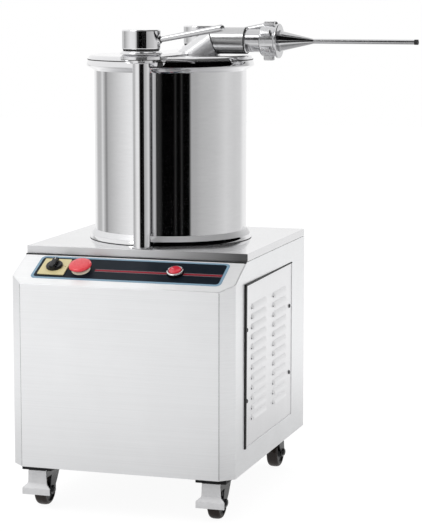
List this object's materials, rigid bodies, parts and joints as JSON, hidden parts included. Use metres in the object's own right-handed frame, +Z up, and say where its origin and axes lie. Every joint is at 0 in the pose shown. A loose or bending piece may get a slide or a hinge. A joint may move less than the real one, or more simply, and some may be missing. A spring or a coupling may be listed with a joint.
{
  "type": "sausage stuffer",
  "caption": "Floor-standing hydraulic sausage stuffer: barrel with a rising piston, clamped swing lid with outlet and nozzle, on a steel cabinet with casters.",
  "frame": {"origin": "middle of the bounding box at floor level", "axes": "+Z up, +X to the right towards the nozzle's tip, front of the cabinet facing -Y"},
  "size_m": [0.859, 0.638, 1.1115],
  "materials": {
    "brushed_sheet": "brushed stainless sheet",
    "polished_steel": "polished stainless",
    "zinc_steel": "zinc plated",
    "grey_paint": "satin paint",
    "blue_paint": "satin paint",
    "cast_metal": "as cast",
    "black_plastic": "satin",
    "navy_film": "printed film, plain",
    "yellow_plate": "satin",
    "red_plastic": "glossy",
    "cream_plastic": "satin",
    "dark_rubber": "matt",
    "white_plastic": "satin"
  },
  "bodies": {
    "base": {"cabinet_shell": "brushed_sheet", "base_tray": "zinc_steel", "rear_panel": "brushed_sheet", "top_plate": "brushed_sheet", "cable_gland": "black_plastic", "side_panel": "brushed_sheet", "side_panel_screw_1": "zinc_steel", "side_panel_screw_2": "zinc_steel", "side_panel_screw_3": "zinc_steel", "side_panel_screw_4": "zinc_steel", "barrel": "polished_steel", "front_post": "polished_steel", "rear_post": "polished_steel", "control_panel": "navy_film", "switch_plate": "yellow_plate", "switch_body": "black_plastic", "stop_collar": "cream_plastic", "button_bezel": "black_plastic", "ram_cylinder": "grey_paint", "ram_gland": "zinc_steel", "oil_tank": "grey_paint", "tank_cover": "grey_paint", "motor": "blue_paint", "bell_housing": "cast_metal", "gear_pump": "cast_metal", "valve_block": "zinc_steel", "pressure_pipe": "zinc_steel", "ram_pipe": "zinc_steel", "control_box": "white_plastic", "caster_plate_front_left": "zinc_steel", "caster_plate_front_right": "zinc_steel", "caster_plate_rear_left": "zinc_steel", "caster_plate_rear_right": "zinc_steel"},
    "ram": {"ram_rod": "polished_steel", "piston": "polished_steel", "piston_seal": "white_plastic"},
    "lid": {"lid": "polished_steel"},
    "front_washer": {"front_washer": "polished_steel"},
    "front_knob": {"front_knob": "polished_steel", "front_lever": "polished_steel"},
    "rear_washer": {"rear_washer": "polished_steel"},
    "rear_knob": {"rear_knob": "polished_steel", "rear_lever": "polished_steel"},
    "nozzle": {"nozzle": "polished_steel"},
    "union_nut": {"union_nut": "polished_steel"},
    "switch_knob": {"switch_knob": "black_plastic"},
    "stop_stem": {"stop_stem": "white_plastic"},
    "stop_head": {"stop_head": "red_plastic"},
    "button_lens": {"button_lens": "red_plastic"},
    "caster_fork_front_left": {"caster_fork_front_left": "zinc_steel"},
    "caster_wheel_front_left": {"caster_wheel_front_left": "dark_rubber"},
    "caster_fork_front_right": {"caster_fork_front_right": "zinc_steel"},
    "caster_wheel_front_right": {"caster_wheel_front_right": "dark_rubber"},
    "caster_fork_rear_left": {"caster_fork_rear_left": "zinc_steel"},
    "caster_wheel_rear_left": {"caster_wheel_rear_left": "dark_rubber"},
    "caster_fork_rear_right": {"caster_fork_rear_right": "zinc_steel"},
    "caster_wheel_rear_right": {"caster_wheel_rear_right": "dark_rubber"},
    "brake_pedal_front_left": {"brake_pedal_front_left": "zinc_steel"},
    "brake_pedal_front_right": {"brake_pedal_front_right": "zinc_steel"}
  },
  "joints": [
    {"name": "ram_lift", "type": "slide", "parent": "base", "child": "ram", "axis": [0, 0, 1], "range_m": [0, 0.38]},
    {"name": "lid_swing", "type": "hinge", "parent": "base", "child": "lid", "pos_m": [-0.1595, 0.271, 1.02], "axis": [0, 0, 1], "range_deg": [0, 110]},
    {"name": "front_clamp_lift", "type": "slide", "parent": "base", "child": "front_washer", "axis": [0, 0, 1], "range_m": [0, 0.0081]},
    {"name": "front_knob_turn", "type": "hinge", "parent": "front_washer", "child": "front_knob", "pos_m": [-0.1595, -0.169, 1.07], "axis": [0, 0, 1], "range_deg": [0, 720]},
    {"name": "rear_clamp_lift", "type": "slide", "parent": "base", "child": "rear_washer", "axis": [0, 0, 1], "range_m": [0, 0.0081]},
    {"name": "rear_knob_turn", "type": "hinge", "parent": "rear_washer", "child": "rear_knob", "pos_m": [-0.1595, 0.271, 1.07], "axis": [0, 0, 1], "range_deg": [0, 720]},
    {"name": "nozzle_draw", "type": "slide", "parent": "lid", "child": "nozzle", "axis": [1, 0, 0], "range_m": [0, 0.06]},
    {"name": "union_nut_turn", "type": "hinge", "parent": "nozzle", "child": "union_nut", "pos_m": [0.0805, 0.051, 1.064], "axis": [1, 0, 0], "continuous": true},
    {"name": "switch_turn", "type": "hinge", "parent": "base", "child": "switch_knob", "pos_m": [-0.3395, -0.25498, 0.55603], "axis": [0, 0.4188, -0.9081], "range_deg": [0, 90]},
    {"name": "stop_press", "type": "slide", "parent": "base", "child": "stop_stem", "axis": [0, 0.4188, -0.9081], "range_m": [0, 0.005], "stiffness_N_per_m": 600, "springref_m": -0.003},
    {"name": "stop_twist", "type": "hinge", "parent": "stop_stem", "child": "stop_head", "pos_m": [-0.2735, -0.26088, 0.5533], "axis": [0, 0.4188, -0.9081], "range_deg": [0, 45]},
    {"name": "button_press", "type": "slide", "parent": "base", "child": "button_lens", "axis": [0, 0.4188, -0.9081], "range_m": [0, 0.004], "stiffness_N_per_m": 600, "springref_m": -0.003},
    {"name": "caster_swivel_front_left", "type": "hinge", "parent": "base", "child": "caster_fork_front_left", "pos_m": [-0.3735, -0.218, 0.09], "axis": [0, 0, 1], "continuous": true},
    {"name": "wheel_roll_front_left", "type": "hinge", "parent": "caster_fork_front_left", "child": "caster_wheel_front_left", "pos_m": [-0.3735, -0.246, 0.0375], "axis": [1, 0, 0], "continuous": true},
    {"name": "caster_swivel_front_right", "type": "hinge", "parent": "base", "child": "caster_fork_front_right", "pos_m": [0.0445, -0.218, 0.09], "axis": [0, 0, 1], "continuous": true},
    {"name": "wheel_roll_front_right", "type": "hinge", "parent": "caster_fork_front_right", "child": "caster_wheel_front_right", "pos_m": [0.0445, -0.246, 0.0375], "axis": [1, 0, 0], "continuous": true},
    {"name": "caster_swivel_rear_left", "type": "hinge", "parent": "base", "child": "caster_fork_rear_left", "pos_m": [-0.3645, 0.242, 0.09], "axis": [0, 0, 1], "continuous": true},
    {"name": "wheel_roll_rear_left", "type": "hinge", "parent": "caster_fork_rear_left", "child": "caster_wheel_rear_left", "pos_m": [-0.3645, 0.27, 0.0375], "axis": [1, 0, 0], "continuous": true},
    {"name": "caster_swivel_rear_right", "type": "hinge", "parent": "base", "child": "caster_fork_rear_right", "pos_m": [0.0355, 0.242, 0.09], "axis": [0, 0, 1], "continuous": true},
    {"name": "wheel_roll_rear_right", "type": "hinge", "parent": "caster_fork_rear_right", "child": "caster_wheel_rear_right", "pos_m": [0.0355, 0.27, 0.0375], "axis": [1, 0, 0], "continuous": true},
    {"name": "brake_press_front_left", "type": "hinge", "parent": "caster_fork_front_left", "child": "brake_pedal_front_left", "pos_m": [-0.3735, -0.248, 0.082], "axis": [1, 0, 0], "range_deg": [0, 6.5]},
    {"name": "brake_press_front_right", "type": "hinge", "parent": "caster_fork_front_right", "child": "brake_pedal_front_right", "pos_m": [0.0445, -0.248, 0.082], "axis": [1, 0, 0], "range_deg": [0, 6.5]}
  ],
  "couplings": [
    {"joint": "front_clamp_lift", "follows": "front_knob_turn", "m_per_rad": 0.00063662},
    {"joint": "rear_clamp_lift", "follows": "rear_knob_turn", "m_per_rad": 0.00063662}
  ]
}
